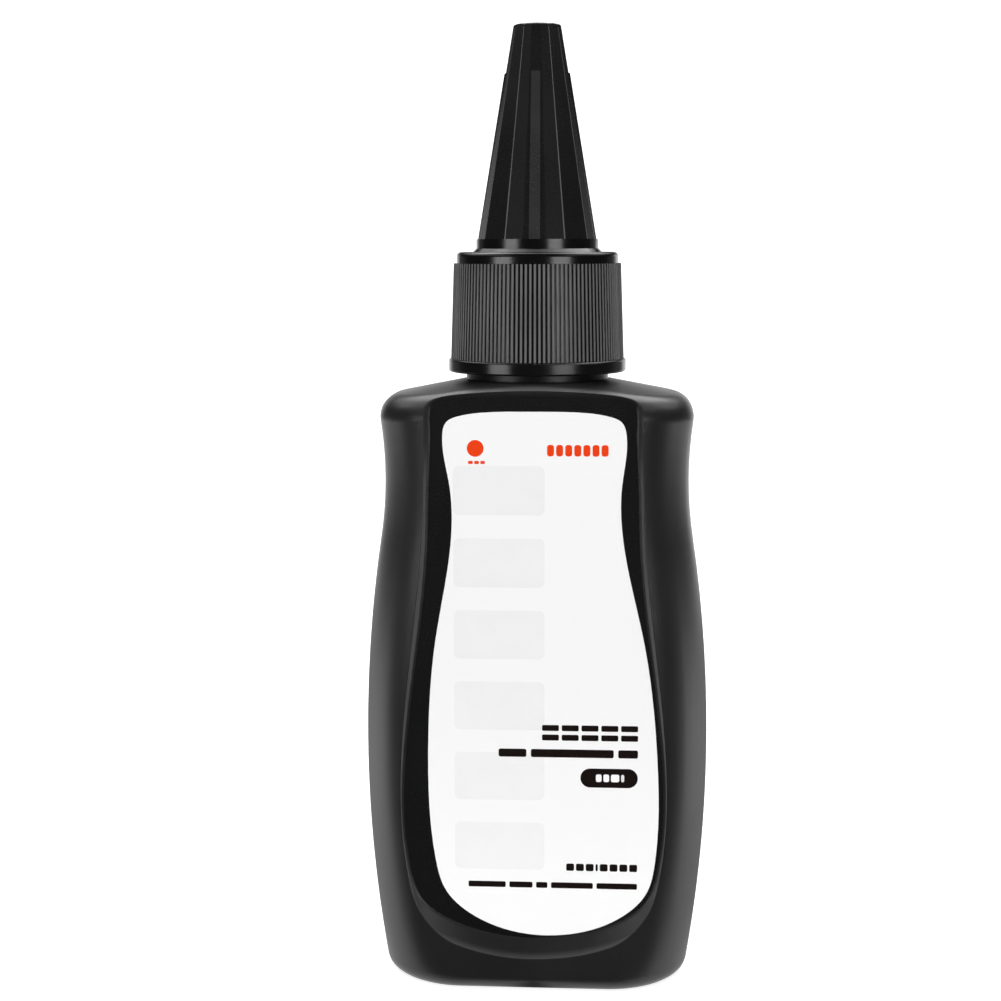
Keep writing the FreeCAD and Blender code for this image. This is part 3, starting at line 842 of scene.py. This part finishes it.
def softbox(name, aim, azimuth, elevation, distance, width, height, radiance):
    """A rectangular light that faces a point from one direction, set by its radiance."""
    light = bpy.data.lights.new(name, "AREA")
    light.shape = "RECTANGLE"
    light.size = width
    light.size_y = height
    light.energy = radiance * math.pi * width * height
    lamp = bpy.data.objects.new(name, light)
    bpy.context.scene.collection.objects.link(lamp)
    turn, rise = math.radians(azimuth), math.radians(elevation)
    way = Vector((math.sin(turn) * math.cos(rise), -math.cos(turn) * math.cos(rise), math.sin(rise)))
    lamp.location = aim + way * distance
    lamp.rotation_euler = (-way).to_track_quat("-Z", "Y").to_euler()
    lamp.visible_glossy = name not in UNSEEN_IN_GLOSS


def floor_sheen(bench, settings, axes):
    """How bright gloss sees the floor, by direction and distance, and its upturned edge."""
    back = bench.math("SUBTRACT", axes["Y"], settings.sheen_centre)
    away = bench.reach(axes["X"], back)
    behind = bench.math("DIVIDE", back, away)
    near = bench.product(bench.ramp(behind, -0.12, 0.14),
                         bench.ramp(behind, 0.1, 1.0, settings.sweep, settings.sweep_behind),
                         bench.ramp(away, 0.0, settings.foot_reach, settings.sweep_foot, 1.0))
    far = bench.ramp(behind, 0.2, 0.9, 0.0, settings.far_sweep)
    lying = bench.mixed(bench.ramp(away, settings.near_end, settings.far_start), near, far)
    fading = bench.ramp(axes["Z"], 0.4 * settings.sweep_rise, settings.sweep_rise, settings.wall, 0.0)
    core = bench.ramp(bench.absolute(axes["X"]), settings.wall_core, settings.wall_fade, 1.0,
                      settings.wall_side)
    upright = bench.math("GREATER_THAN", axes["Z"], MM)
    return bench.mixed(upright, lying, bench.product(fading, core))


def floor_material(settings):
    """Pale floor that keeps the shadow and meets the white backdrop; gloss sees its own sheen instead."""
    material = bpy.data.materials.new("studio floor")
    material.use_nodes = True
    tree = material.node_tree
    tree.nodes.clear()
    bench = NodeBench(tree)
    place = bench.add("ShaderNodeTexCoord").outputs["Object"]
    path = bench.add("ShaderNodeLightPath").outputs
    mottle = bench.ramp(bench.noise(place, 30.0, 2.0), 0.3, 0.7, 0.99, 1.01)
    paper = bench.add("ShaderNodeBsdfDiffuse", Color=scaled_colour(bench, [settings.paper] * 3, mottle))
    glow = bench.add("ShaderNodeEmission", Color=WHITE,
                     Strength=bench.product(path["Is Camera Ray"], settings.paper_glow))
    both = bench.add("ShaderNodeAddShader")
    bench.put(both, "0", paper.outputs[0])
    bench.put(both, "1", glow.outputs[0])
    sheen = bench.add("ShaderNodeEmission", Color=WHITE,
                      Strength=floor_sheen(bench, settings, bench.parts(place)))
    seen = bench.add("ShaderNodeMixShader")
    bench.put(seen, "0", path["Is Glossy Ray"])
    bench.put(seen, "1", both.outputs[0])
    bench.put(seen, "2", sheen.outputs[0])
    bench.add("ShaderNodeOutputMaterial", Surface=seen.outputs[0])
    return material


class OILBOTTLE_OT_studio(bpy.types.Operator):
    """Sets up the camera, the pale floor, the white backdrop and the softboxes"""

    bl_idname = "oilbottle.studio"
    bl_label = "Studio"

    def execute(self, context):
        settings = context.scene.oilbottle_studio
        scene = context.scene
        scene.view_settings.view_transform = "Standard"
        self.place_camera(scene, settings)
        self.lay_floor(settings)
        self.hang_backdrop(scene, settings)
        aim = Vector((0, 0, settings.aim_height))
        for name, setting, azimuth, elevation, distance, width, height in SOFTBOXES:
            softbox(name, aim, azimuth, elevation, distance, width, height, getattr(settings, setting))
        return {"FINISHED"}

    def place_camera(self, scene, settings):
        """The camera that sees the bottle as the photograph does."""
        data = bpy.data.cameras.new("camera")
        data.lens = settings.lens
        data.clip_start = settings.near_clip
        camera = bpy.data.objects.new("camera", data)
        scene.collection.objects.link(camera)
        camera.location = (settings.distance * math.sin(settings.azimuth),
                           -settings.distance * math.cos(settings.azimuth), settings.eye_height)
        heading = Euler((math.pi / 2 - settings.pitch, 0, settings.azimuth + settings.pan)).to_matrix()
        camera.rotation_euler = (heading @ Euler((0, 0, settings.roll)).to_matrix()).to_euler()
        scene.camera = camera

    def lay_floor(self, settings):
        """The pale floor with its upturned back edge."""
        mesh = bpy.data.meshes.new("studio_floor")
        line = ((settings.sweep_front, 0), (settings.sweep_back, 0),
                (settings.sweep_back, settings.sweep_rise))
        sides = (-settings.sweep_half, settings.sweep_half)
        corners = [(x, y, z) for y, z in line for x in sides]
        mesh.from_pydata(corners, [], [(0, 1, 3, 2), (2, 3, 5, 4)])
        mesh.materials.append(floor_material(settings))
        floor = bpy.data.objects.new("studio_floor", mesh)
        bpy.context.scene.collection.objects.link(floor)

    def hang_backdrop(self, scene, settings):
        """A backdrop that the camera sees white and the bottle sees dim."""
        world = bpy.data.worlds.new("studio")
        scene.world = world
        world.use_nodes = True
        tree = world.node_tree
        bench = NodeBench(tree)
        path = bench.add("ShaderNodeLightPath").outputs
        strength = bench.math("MAXIMUM", path["Is Camera Ray"], settings.ambient)
        background = tree.nodes["Background"]
        background.inputs["Color"].default_value = WHITE
        bench.put(background, "Strength", strength)


class OILBOTTLE_PT_panel(bpy.types.Panel):
    """Lists the bottle's steps and settings"""

    bl_idname = "OILBOTTLE_PT_panel"
    bl_label = "Oil Bottle"
    bl_space_type = "VIEW_3D"
    bl_region_type = "UI"
    bl_category = "Oil Bottle"

    def draw(self, context):
        for operator, group in STEPS:
            box = self.layout.box()
            box.operator(operator.bl_idname)
            settings = getattr(context.scene, group)
            for name in settings.__annotations__:
                box.prop(settings, name)


STEPS = ((OILBOTTLE_OT_bottle, "oilbottle_plastic"), (OILBOTTLE_OT_cap, "oilbottle_thread"),
         (OILBOTTLE_OT_label, "oilbottle_label"), (OILBOTTLE_OT_studio, "oilbottle_studio"))
GROUPS = {"oilbottle_plastic": PlasticSettings, "oilbottle_thread": ThreadSettings,
          "oilbottle_label": LabelSettings, "oilbottle_studio": StudioSettings}


def register():
    """Makes the settings, the operators and the panel known to Blender."""
    for name, group in GROUPS.items():
        bpy.utils.register_class(group)
        setattr(bpy.types.Scene, name, PointerProperty(type=group))
    for operator, _group in STEPS:
        bpy.utils.register_class(operator)
    bpy.utils.register_class(OILBOTTLE_PT_panel)


def unregister():
    """Takes the panel, the operators and the settings away again."""
    bpy.utils.unregister_class(OILBOTTLE_PT_panel)
    for operator, _group in reversed(STEPS):
        bpy.utils.unregister_class(operator)
    for name, group in reversed(GROUPS.items()):
        delattr(bpy.types.Scene, name)
        bpy.utils.unregister_class(group)


def main():
    """Dresses the part step by step."""
    register()
    bpy.ops.oilbottle.bottle()
    bpy.ops.oilbottle.cap()
    bpy.ops.oilbottle.label()
    bpy.ops.oilbottle.studio()


if __name__ == "__main__":
    main()
